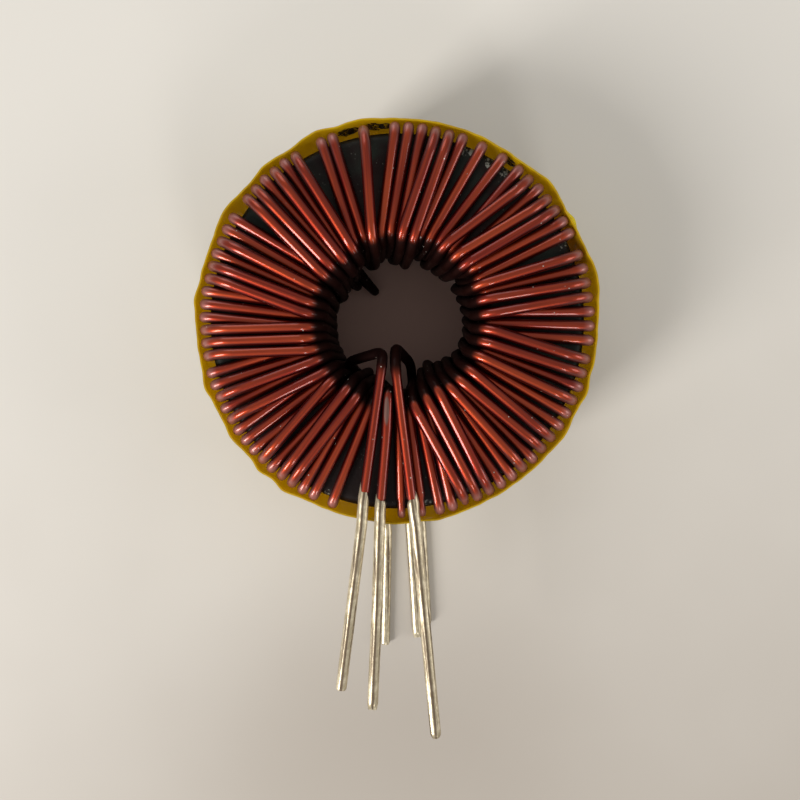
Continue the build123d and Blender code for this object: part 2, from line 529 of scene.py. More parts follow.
@dataclass(frozen=True)
class FilmFinish:
    """Yellow polyester film; each mark has its bearing, height, half width and half height."""

    name: str = "film_tape"
    film: Colour = (0.61, 0.45, 0.006)
    other_tone: Colour = (0.46, 0.31, 0.008)
    smear_stretch: Point = (1.0, 1.0, 0.3)
    smear_scale: float = 0.35
    smear: Span = (0.35, 0.8)
    lit: Colour = (0.80, 0.57, 0.014)
    through: float = 0.5
    roughness: float = 0.14
    smear_rough: float = 0.2
    coat: float = 0.3
    coat_roughness: float = 0.1
    crease_scale: float = 0.8
    relief: Span = (0.10, 0.6)
    residue: Colour = (0.085, 0.045, 0.014)
    pale: Colour = (0.78, 0.68, 0.42)
    wall_r: float = 24.9
    residue_marks: tuple[Weights, ...] = (
        (344.8, 18.0, 1.3, 2.3), (347.5, 17.6, 1.0, 1.8), (353.3, 18.0, 1.5, 2.3),
        (357.0, 18.2, 1.1, 1.8), (34.5, 18.2, 1.4, 2.2),
    )
    pale_marks: tuple[Weights, ...] = ((171.2, 20.0, 1.1, 1.0), (186.5, 20.4, 0.6, 0.6))
    mark_scale: float = 1.6
    mark_edge: Span = (0.36, 0.50)
    inside: Span = (0.48, 0.50)

    def ragged(self, shader: Shader, places: tuple[Weights, ...]) -> Socket:
        """Ragged marks on the inside of the film, where its own first coordinate is under a half.

        Args:
            shader: the material in work.
            places: each mark's bearing, height, half width and half height.

        Returns:
            1 on a mark.
        """
        torn = shader.noise(shader.place(), self.mark_scale, detail=5.0, rough=0.75)
        inside = 1.0 - shader.part(shader.along(), "X").ramp(*self.inside)
        return (shader.marks(self.wall_r, places) * torn).ramp(*self.mark_edge) * inside

    def material(self) -> bpy.types.Material:
        """Slight creases and smears on glossy yellow, with dark residue and pale worn marks.

        Returns:
            The material.
        """
        shader = Shader(self.name)
        smears = shader.noise(shader.place(self.smear_stretch), self.smear_scale, detail=4.0, rough=0.6)
        creases = shader.noise(shader.place(), self.crease_scale)
        dark = self.ragged(shader, self.residue_marks)
        base = shader.blend(smears.ramp(*self.smear), self.film, self.other_tone)
        base = shader.blend(self.ragged(shader, self.pale_marks), base, self.pale)
        shader.finish(
            {
                "Base Color": shader.blend(dark, base, self.residue),
                "Roughness": smears * self.smear_rough + self.roughness,
                "Coat Weight": self.coat,
                "Coat Roughness": self.coat_roughness,
            }
        )
        shader.bump(creases, *self.relief)
        shader.let_light_through((1.0 - dark) * self.through, self.lit)
        return shader.material


@dataclass(frozen=True)
class TableFinish:
    """Plain pale table top, painted a little lighter to one side, with a painted shadow towards the front.
    """

    light: Colour = (0.70, 0.675, 0.63)
    dark: Colour = (0.40, 0.36, 0.315)
    tone: Span = (-0.9, 0.45)
    light_fall: Point = (-0.0016, 0.0075, 0.0)
    cloud_scale: float = 0.04
    cloud_share: float = 0.15
    shade_at: Point = (-2.0, -66.0, 0.0)
    shade_reach: Point = (50.0, 36.0, 10.0)
    shade_share: float = 0.4
    glow: Colour = (0.68, 0.40, 0.33)
    glow_r: Span = (9.0, 14.0)
    glow_share: float = 0.9
    roughness: float = 0.62

    def material(self) -> bpy.types.Material:
        """A painted fall of light across it, a painted shadow towards -Y, faint clouds, and painted red
        light off the wires in the hole.

        Returns:
            The material.
        """
        shader = Shader("table")
        clouds = shader.noise(shader.place(), self.cloud_scale, detail=2.0)
        # Painted light: the table is lighter towards -X and +Y, as the lamps fall on it.
        across = shader.vector("DOT_PRODUCT", shader.place(), self.light_fall, output="Value")
        # Painted shadow: darker round a spot in front of the ring.
        shade = 1.0 - shader.distance(self.shade_at, self.shade_reach).ramp(0.0, 1.0)
        tone = (across + clouds * self.cloud_share - shade * self.shade_share).ramp(*self.tone)
        # Painted light: red light off the wires, on the table inside the hole.
        glow = (1.0 - shader.axis_distance().ramp(*self.glow_r)) * self.glow_share
        base = shader.blend(glow, shader.blend(tone, self.dark, self.light), self.glow)
        shader.finish({"Base Color": base, "Roughness": self.roughness})
        return shader.material


def write_mesh(name: str, grid: Array, uv: Array | None, ring: bool, loop: bool) -> bpy.types.Object:
    """Turn a grid of points into an object at the origin.

    Each square of the grid becomes a face, and a ring that doesn't close on the next is capped.

    Args:
        name: the object's name.
        grid: points in millimetres, (rows, columns, 3).
        uv: the points' own coordinates, with one more column, and one more row if it loops, or None.
        ring: the last column joins the first.
        loop: the last row joins the first.

    Returns:
        The object.
    """
    rows, columns = grid.shape[:2]
    row = np.arange(rows if loop else rows - 1)[:, None]
    column = np.arange(columns if ring else columns - 1)[None, :]
    square = ((row, column), (row, column + 1), (row + 1, column + 1), (row + 1, column))
    quads = np.stack([r % rows * columns + c % columns for r, c in square], axis=-1).reshape(-1, 4)
    faces = quads.tolist()
    if ring and not loop:
        faces.append(list(range(columns))[::-1])
        faces.append([(rows - 1) * columns + c for c in range(columns)])
    mesh = bpy.data.meshes.new(name)
    mesh.from_pydata((grid.reshape(-1, 3) * MM).tolist(), [], faces)
    if uv is not None:
        corners = np.zeros((len(mesh.loops), 2))
        corners[: quads.size] = np.stack([uv[r, c] for r, c in square], axis=2).reshape(-1, 2)
        layer = mesh.uv_layers.new(name="run")
        layer.data.foreach_set("uv", corners.reshape(-1))
    mesh.shade_smooth()
    mesh.set_sharp_from_angle(angle=SHARP_ANGLE)
    mesh.validate()
    made = bpy.data.objects.new(name, mesh)
    bpy.context.scene.collection.objects.link(made)
    return made


def soften(points: Array, reach: float, steps: int) -> Array:
    """Round each corner of a line.

    A corner P between A and B, up to `reach` away on each side, becomes the quadratic curve
    (1-t)^2 A + 2t(1-t) P + t^2 B. On a short run A and B are CURVE_SHARE of it away instead.

    Args:
        points: the line's corners, (n, 3).
        reach: how far from a corner its curve starts, at most.
        steps: points on each curve.

    Returns:
        The rounded line.
    """
    before, corner, after = points[:-2], points[1:-1], points[2:]
    ends = []
    for run in (before - corner, after - corner):
        length = np.linalg.norm(run, axis=1, keepdims=True)
        ends.append(corner + run / length * np.minimum(reach, CURVE_SHARE * length))
    start, end = ends
    t = np.linspace(0, 1, steps)[None, :, None]
    curves = (1 - t) ** 2 * start[:, None] + 2 * t * (1 - t) * corner[:, None] + t**2 * end[:, None]
    return np.concatenate([points[:1], curves.reshape(-1, 3), points[-1:]])


def tube(
    name: str, line: Array, radius: Array, sides: int, middle: Span, slant: Array | None = None
) -> bpy.types.Object:
    """A round tube along a line.

    A point is the centre plus its radius times (cos a) away + (sin a) side, where away points off the
    middle of the core, side lies across the line, and a starts on the side that faces the core, so
    that the seam is out of sight.

    Args:
        name: the object's name.
        line: centre line, (n, 3).
        radius: the tube's radius at each point, (n, 1) or (n, sides).
        sides: points on each ring.
        middle: radius and height of the circle in the middle of the core.
        slant: how far each point is moved along the line, (n, sides), or None.

    Returns:
        The object.
    """
    step = np.gradient(line, axis=0)
    run = step / np.linalg.norm(step, axis=1, keepdims=True)
    flat = line * (1, 1, 0)
    core = flat / np.linalg.norm(flat, axis=1, keepdims=True) * middle[0] + (0, 0, middle[1])
    away = line - core
    away -= (away * run).sum(axis=1, keepdims=True) * run
    away /= np.linalg.norm(away, axis=1, keepdims=True)
    side = np.cross(run, away)
    angle = math.pi + np.linspace(0, 2 * math.pi, sides, endpoint=False)
    spoke = away[:, None] * np.cos(angle)[None, :, None] + side[:, None] * np.sin(angle)[None, :, None]
    grid = line[:, None] + spoke * radius[..., None]
    if slant is not None:
        grid += run[:, None] * slant[..., None]
    around = np.linspace(0, 1, sides + 1)
    uv = np.stack(np.broadcast_arrays(around[None, :], travelled(line)[:, None]), axis=-1)
    return write_mesh(name, grid, uv, ring=True, loop=False)


@dataclass(frozen=True)
class SolderEnd:
    """How the solder sits on one wire end; angles run from the top of the tube.

    Each of its waves is a product of two: its share, their radians in each millimetre along the
    wire, and the first one's turns round it.
    """

    seed: int
    cut: Cut
    waves: tuple[Weights, ...] = ((1.0, 0.8, 2.1, 1), (0.5, 5.3, 1.7, -2))
    wave_share: float = 0.6
    lump: float = 0.02
    widen: float = 0.11
    blob: float = 0.0
    blob_angle: float = 0.0
    blob_at: float = 1.1
    blob_spread: float = 0.9
    blob_edge: float = 1.5
    cut_length: float = 0.9
    snip_edge: float = 1.5
    snip: Span = (0.25, 0.55)
    dome: Span = (0.9, 2.5)
    square: Span = (0.14, 8.0)
    start_slant: float = 0.5
    start_fade: float = 1.2
    start_tooth: float = 0.35
    start_seed: int = 50

    def relief(self, travel: Array, angle: Array) -> Array:
        """Radius as a share of the sleeve's: waves along and round it, never above the sleeve on top.

        It is 1 plus the waves, plus a blob that is a bell curve along the wire times a power of the
        cosine round it, plus a widening with the sine squared, to both sides.

        Args:
            travel: distance from the start.
            angle: angle round the tube.

        Returns:
            The share, for each pair.
        """
        phases = np.random.default_rng(self.seed).uniform(0, 2 * math.pi, (len(self.waves), 2))
        waves = 0.0
        for (share, first, second, turns), phase in zip(self.waves, phases):
            swing = np.sin(travel * first + phase[0] + turns * angle)
            waves = waves + share * swing * np.sin(travel * second + phase[1])
        facing = np.clip(np.cos(angle - math.radians(self.blob_angle)), 0, 1) ** self.blob_edge
        blob = self.blob * np.exp(-((travel - self.blob_at) ** 2) / self.blob_spread) * facing
        lumps = self.lump * (waves * self.wave_share - 1)
        return 1 + lumps + blob + self.widen * np.sin(angle) ** 2

    def taper(self, left: Array, angle: Array) -> Array:
        """What the cut takes off near the tip.

        With g rising from 0 to 1 over the cut, a snip takes off g^p (b + c cos^2), a dome
        1 - sqrt(1 - (b g)^p), and a square cut b g^p.

        Args:
            left: distance still to go to the tip.
            angle: angle round the tube.

        Returns:
            The share of the radius that is gone.
        """
        gone = np.clip(1 - left / self.cut_length, 0, 1)
        if self.cut is Cut.SNIPPED:
            least, more = self.snip
            return gone**self.snip_edge * (least + more * np.cos(angle) ** 2)
        if self.cut is Cut.ROUND:
            share, power = self.dome
            return 1 - np.sqrt(np.clip(1 - (gone * share) ** power, 0, 1))
        share, power = self.square
        return share * gone**power

    def slant(self, travel: Array, angle: Array) -> Array:
        """How far each point of a ring is moved along the wire, so that the start is ragged.

        It is one wave round the tube and a smaller one of three, dying away along the wire.

        Args:
            travel: distance from the start.
            angle: angle round the tube.

        Returns:
            The shift.
        """
        phase = np.random.default_rng(self.seed + self.start_seed).uniform(0, 2 * math.pi)
        ragged = np.cos(angle - phase) + self.start_tooth * np.cos(3 * angle + phase)
        return self.start_slant * ragged * np.exp(-travel / self.start_fade)


@dataclass
class Winding:
    """Three enamelled wires wound side by side through the ring.

    A bundle of neighbours has its first and last bearing on the outside, each wire's drift in
    degrees on its way in to the hole, and a mark for each wire: "^" rides up over its neighbours,
    "." lies on the core. A bow is a slack wire at the hole's low end: its pass, counted from the
    first one laid, and its radius, bearing and height. Slack is a row of bell curves: bearing,
    width and depth of the sag. Leads are (x, y), arches (radius, bearing, height). What comes in
    threes has one for each wire, and a pair of ends is the low one and the high one.
    """

    finish: EnamelFinish = EnamelFinish()
    core_outer_r: float = 23.7
    core_inner_r: float = 11.7
    core_height: float = 18.2
    core_edge_r: float = 1.2
    strands: int = 3
    wire_r: float = 0.6
    layer_step: float = 1.23
    rider_lead_in: float = 1.6
    wall_lean: float = 10.0
    wall_pitch: float = 1.26
    settle_rounds: int = 300
    enamel_r: float = 0.635
    top_swell: float = 0.05
    swell_z: Span = (12.0, 17.0)
    box_margin: float = 0.004
    sides: int = 20
    bend_reach: float = 1.5
    bend_steps: int = 6
    slack_out: float = 0.1
    slack_up: float = 0.45
    slack: tuple[Point, ...] = (
        (0.0, 45.0, 1.3), (150.0, 30.0, 2.5), (205.0, 22.0, 2.2), (265.0, 40.0, 0.7), (318.0, 14.0, 1.4),
    )
    slack_spread: float = 0.35
    slack_z: float = 9.0
    slack_lean: float = 0.5
    rim_share: float = 0.55
    bows: tuple[Weights, ...] = ((32, 6.1, 325.0, 2.6), (30, 8.3, 313.5, 2.8))
    bow_turn: float = 0.9
    bow_lean: float = 1.0
    wall_share: float = 0.6
    bundles: tuple[tuple, ...] = (
        (199.7, 199.7, (-2,), "."),
        (205.9, 255.2, (-3, 0, -5, 0, 0, 4, 0, 1, -4, -4, 1, -2, -2, 1), "..^^.^...^.^.."),
        (260.4, 302.9, (-8, -3, -1, -1, -2, 0, -7, -4, -2, -2, 0, 2), "^^^...^^.^.."),
        (309.9, 328.8, (-6, -3, -1, -1, -1, 1), "^^.^.^"),
        (337.4, 340.9, (-4, -2), ".."),
        (350.3, 350.3, (-6,), "^"),
        (359.5, 379.7, (-8, -8, -5, -8, -4, -2), "...^^."),
        (385.9, 392.7, (-6, -6), ".."),
        (398.6, 422.5, (-2, -11, -2, -9, -5, -4, -1), ".^.^^.."),
        (429.3, 454.9, (-4, -3, -3, 2, -2, -1, 0), "^.^^..."),
        (460.5, 490.5, (-7, -3, -2, -2, -2, -1, -4, 1), "^^.^..^^"),
        (494.6, 526.8, (0, 1, 0, 0, -3, 3, 9, 0, 0), ".^..^^^.."),
        (532.2, 544.8, (-2, -2, -2), "..."),
    )
    low_leads: tuple[tuple[Span, ...], ...] = (
        ((4.3, -45.4), (3.45, -31.0), (3.2, -27.2)),
        ((2.79, -47.4), (1.7, -31.0), (1.4, -27.2)),
        ((-2.17, -48.5), (-1.8, -31.0), (-2.3, -27.0)),
    )
    low_entry_bearings: Point = (175.3, 181.5, 187.9)
    high_wall_bearings: Point = (168.0, 178.0, 187.0)
    high_arches: tuple[tuple[Point, ...], ...] = (
        (
            (9.6, 171.0, 5.5), (8.3, 166.0, 10.0), (5.4, 161.0, 14.0),
            (2.9, 184.0, 19.6), (5.4, 181.0, 22.6),
        ),
        ((9.7, 182.0, 9.0), (9.3, 185.0, 18.0), (8.0, 187.0, 22.2)),
        (
            (8.5, 194.0, 5.8), (8.5, 219.0, 12.0), (8.1, 233.0, 16.5),
            (3.9, 207.0, 20.6), (5.3, 199.0, 22.6),
        ),
    )
    high_leads: tuple[tuple[Span, ...], ...] = (
        ((0.9, -13.5), (2.1, -22.9), (2.45, -25.2), (5.05, -52.4)),
        ((-1.2, -13.5), (-2.0, -22.9), (-2.4, -35.4), (-3.03, -48.7)),
        ((-2.9, -13.5), (-4.1, -22.0), (-4.35, -25.4), (-7.0, -46.1)),
    )
    tin_r: float = 0.64
    tin_clearance: float = 0.04
    ends: tuple[tuple[SolderEnd, SolderEnd], ...] = (
        (SolderEnd(1, Cut.SNIPPED), SolderEnd(4, Cut.ROUND, blob=0.24, blob_angle=270.0)),
        (SolderEnd(2, Cut.SNIPPED), SolderEnd(5, Cut.SNIPPED)),
        (SolderEnd(3, Cut.SQUARE), SolderEnd(6, Cut.SQUARE, start_slant=0.9)),
    )
    reach_in: Span = (3.6, 1.2)
    overlap: float = 0.1
    step_half: float = 0.02
    hidden_r: float = 0.5
    tip_setback: float = 1.2
    tip_cap: float = 0.3
    end_sides: int = 36
    start_run: float = 3.0
    start_rings: int = 40
    onward_rings: int = 160
    start_thin: Span = (0.12, 0.25)

    def __post_init__(self) -> None:
        """Work out the levels from the sizes."""
        self.low_z = self.tin_r
        self.floor_z = self.low_z + self.layer_step + self.wire_r
        self.top_z = self.floor_z + self.core_height
        self.high_z = self.top_z + 2 * self.wire_r + self.tin_r + self.tin_clearance
        self.wall_z = self.floor_z + self.core_height / 3

    def wall_r(self, layer: Layer) -> float:
        """Radius of a wire's centre on the hole's wall."""
        return self.core_inner_r - self.wire_r - layer.value * self.layer_step

    def passes(self) -> list[list]:
        """Spread the turns over the hole's wall.

        Returns:
            Every turn as [outer bearing, inner bearing, layer], in the order they were laid.
        """
        turns = []
        for first, last, drifts, marks in self.bundles:
            for outer, drift, mark in zip(np.linspace(first, last, len(drifts)), drifts, marks):
                layer = Layer.RIDING if mark == "^" else Layer.ON_CORE
                turns.append([float(outer), float(outer) + drift, layer])
        for layer in Layer:
            self.spread([t for t in turns if t[2] is layer], self.wall_r(layer))
        return turns

    def spread(self, row: list[list], radius: float) -> None:
        """Move inner ends of one layer apart until each has its own width of wall.

        Args:
            row: the layer's turns, in order.
            radius: the layer's radius on the wall.
        """
        width = math.degrees(self.wall_pitch / radius)
        for _ in range(self.settle_rounds):
            for a, b in zip(row, row[1:]):
                short = width - (b[1] - a[1])
                if short > 0:
                    a[1] -= short / 2
                    b[1] += short / 2

    def slack_in(self, bearing: float) -> float:
        """How far a wire sags from the hole's wall.

        Args:
            bearing: where it is on the wall.

        Returns:
            The sum of the bell curves there.
        """
        middle, width, depth = np.array(self.slack).T
        away = (bearing - middle + 180) % 360 - 180
        return float((depth * np.exp(-((away / width) ** 2))).sum())

    def corner(self, layer: Layer, inner: bool, top: bool, bearing: float) -> list[Array]:
        """Two points that carry the wire round one rounded edge of the core, wall side first.

        The wire's bend there has radius R, and the points lie R tan 22.5 degrees from its middle
        along the wall and along the face, so that the line between them touches the bend.

        Args:
            layer: the wire's layer.
            inner: the hole's edge rather than the outer one.
            top: the upper edge rather than the lower one.
            bearing: where it is.

        Returns:
            The two points.
        """
        bend = self.core_edge_r + self.wire_r + layer.value * self.layer_step
        cut = bend * math.tan(math.pi / 8)
        side = 1 if inner else -1
        centre_r = (self.core_inner_r if inner else self.core_outer_r) + side * self.core_edge_r
        up = 1 if top else -1
        centre_z = (self.top_z if top else self.floor_z) - up * self.core_edge_r
        wall = at(centre_r - side * bend, bearing, centre_z + up * cut)
        face = at(centre_r - side * cut, bearing, centre_z + up * bend)
        return [wall, face]

    def outer_corner(self, layer: Layer, top: bool, bearing: float) -> list[Array]:
        """The outer edge's two points, wall side first; a rider rises as it comes over.

        Args:
            layer: the wire's layer.
            top: the upper edge, where the wires stand a little off the core.
            bearing: where it is.

        Returns:
            The two points.
        """
        wall, face = self.corner(Layer.ON_CORE, False, top, bearing)
        if top:
            wall = wall + at(self.slack_out, bearing, self.slack_up)
            face = face + at(self.slack_out, bearing, 0.0)
        if layer is Layer.RIDING:
            up = 1 if top else -1
            level = (self.top_z if top else self.floor_z) + up * (self.wire_r + self.layer_step)
            face = at(self.core_outer_r - self.rider_lead_in, bearing, level)
        return [wall, face]

    def path(self, first: int) -> Array:
        """Corners of one wire's centre line, from its low end to its high end.

        Args:
            first: the strand's number.

        Returns:
            The corners, (n, 3).
        """
        own = self.passes()[first :: self.strands]
        bows = {number: bow for number, *bow in self.bows}
        loose = np.random.default_rng(first)
        line = [np.array((x, y, self.low_z)) for x, y in self.low_leads[first]]
        line.append(self.corner(Layer.ON_CORE, False, False, self.low_entry_bearings[first])[1])
        for place, (outer, inner, layer) in enumerate(own):
            number = first + self.strands * place
            wall, face = self.corner(layer, True, False, inner - self.wall_lean)
            sag = self.slack_in(inner) * (1 + self.slack_spread * loose.uniform(-1, 1))
            line.append(face)
            if number in bows:
                radius, bearing, level = bows[number]
                line.append(at(radius + self.bow_turn / 2, bearing, level - self.bow_turn))
                line.append(at(radius, bearing + self.bow_lean, level + self.bow_turn))
                line.append(at(self.wall_r(layer), inner - self.wall_share * self.wall_lean, self.wall_z))
            else:
                bearing = inner - self.slack_lean * self.wall_lean
                line.append(wall)
                line.append(at(self.wall_r(layer) - sag, bearing, self.slack_z))
            over = at(sag * self.rim_share, inner, 0.0)
            line += [point - over for point in self.corner(layer, True, True, inner)]
            line += reversed(self.outer_corner(layer, True, outer))
            rises = own[place + 1][2] if place + 1 < len(own) else Layer.RIDING
            line += self.outer_corner(rises, False, outer)
        line += reversed(self.corner(Layer.RIDING, True, False, self.high_wall_bearings[first]))
        line += [at(*point) for point in self.high_arches[first]]
        line += [np.array((x, y, self.high_z)) for x, y in self.high_leads[first]]
        return np.array(line)

    def middle(self) -> Span:
        """Radius and height of the circle inside the core that the wires go round."""
        return ((self.core_outer_r + self.core_inner_r) / 2, self.floor_z + self.core_height / 2)

    def build(self) -> list[bpy.types.Object]:
        """Make the three wires, and the solder on their ends.

        Returns:
            The pieces.
        """
        enamel = self.finish.material()
        solder = SolderFinish().material()
        pieces = []
        for number, letter in enumerate("abc"):
            path = self.path(number)
            low_start, high_start, corners = self.under_solder(path)
            line = soften(corners, self.bend_reach, self.bend_steps)
            for tip, inner in ((0, 1), (-1, -2)):
                line[tip] += heading(line[tip], line[inner]) * self.tip_setback
            low, high = self.swell_z
            radius = self.enamel_r + self.top_swell * np.clip((line[:, 2] - low) / (high - low), 0, 1)
            radius = np.minimum(radius, self.high_z + self.tin_r - self.box_margin - line[:, 2])
            for tip, start in ((path[0], low_start), (path[-1], high_start)):
                under = np.linalg.norm(line - tip, axis=1) < np.linalg.norm(start - tip) - self.overlap
                radius[under] = self.hidden_r
            made = tube(f"wire_{letter}", line, radius[:, None], self.sides, self.middle())
            made.data.materials.append(enamel)
            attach(made, "root")
            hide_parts(f"wire_strand_{letter}")
            pieces.append(made)
            stretches = {"low": [low_start, path[1], path[0]], "high": [high_start, *path[-3:]]}
            for shape, (side, stretch) in zip(self.ends[number], stretches.items()):
                pieces.append(self.solder_end(f"{side}_{letter}", shape, np.array(stretch), solder))
        return pieces

    def under_solder(self, path: Array) -> tuple[Array, Array, Array]:
        """Find where the solder starts, and add points just before and after the wire goes under it.

        Args:
            path: corners of the wire's centre line.

        Returns:
            Where it starts on the low end and on the high one, and the corners with the four added.
        """
        low_way, high_way = heading(path[1], path[2]), heading(path[-3], path[-4])
        low = path[1] + low_way * self.reach_in[0]
        high = path[-3] + high_way * self.reach_in[1]
        far, near = self.overlap + self.step_half, self.overlap - self.step_half
        low_pair = [low - low_way * far, low - low_way * near]
        high_pair = [high - high_way * near, high - high_way * far]
        return low, high, np.concatenate([path[:2], low_pair, path[2:-3], high_pair, path[-3:]])

    def solder_end(
        self, name: str, shape: SolderEnd, stretch: Array, finish: bpy.types.Material
    ) -> bpy.types.Object:
        """Solder on one wire end: a sleeve with an uneven start, lumps and a cut tip.

        Args:
            name: which end it is.
            shape: how the solder sits on it.
            stretch: corners of its centre line, from the winding outward.
            finish: its material.

        Returns:
            The piece.
        """
        stretch[-1] += heading(stretch[-2], stretch[-1]) * self.tip_cap
        marks = travelled(stretch)
        start = np.linspace(0, self.start_run, self.start_rings, endpoint=False)
        travel = np.concatenate([start, np.linspace(self.start_run, marks[-1], self.onward_rings)])
        line = np.stack([np.interp(travel, marks, stretch[:, axis]) for axis in range(3)], axis=-1)
        travel = travel[:, None]
        angle = math.pi + np.linspace(0, 2 * math.pi, self.end_sides, endpoint=False)[None, :]
        share = shape.relief(travel, angle) - shape.taper(marks[-1] - travel, angle)
        thinner, fade = self.start_thin
        radius = self.tin_r * share * (1 - thinner * np.exp(-travel / fade))
        slant = shape.slant(travel, angle)
        made = tube(f"solder_{name}", line, radius, self.end_sides, self.middle(), slant)
        made.data.materials.append(finish)
        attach(made, "root")
        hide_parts(f"tinned_end_{name}")
        return made


@dataclass
class RingCore:
    """The coated powder ring."""

    finish: CoatingFinish = CoatingFinish()
    outer_r: float = 23.7
    inner_r: float = 11.7
    floor_z: float = 2.47
    height: float = 18.2
    edge_r: float = 1.2
    columns: int = 480
    edge_steps: int = 9
    lead_in: float = 0.3

    def section(self) -> Array:
        """The rounded outline, up the hole's wall and over the top.

        Each corner is a quarter circle, with a point just before and after it on its straights.

        Returns:
            Its (radius, height) points.
        """
        near, far = self.inner_r + self.edge_r, self.outer_r - self.edge_r
        low, high = self.floor_z + self.edge_r, self.floor_z + self.height - self.edge_r
        corners = ((near, low, 270), (near, high, 180), (far, high, 90), (far, low, 0))
        points = []
        for r, z, first in corners:
            turn = np.radians(np.linspace(first, first - 90, self.edge_steps))
            arc = np.stack([r + self.edge_r * np.cos(turn), z + self.edge_r * np.sin(turn)], axis=-1)
            onward = np.stack([np.sin(turn), -np.cos(turn)], axis=-1) * self.lead_in
            points += [arc[:1] - onward[:1], arc, arc[-1:] + onward[-1:]]
        return np.concatenate(points)

    def build(self) -> list[bpy.types.Object]:
        """Turn the outline about the axis.

        Returns:
            The one piece.
        """
        section = self.section()
        bearing = np.linspace(360, 0, self.columns, endpoint=False)
        grid = at(section[None, :, 0], bearing[:, None], section[None, :, 1])
        made = write_mesh("core_ring", grid, None, ring=True, loop=True)
        made.data.materials.append(self.finish.material())
        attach(made, "root")
        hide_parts("ring_core")
        return [made]


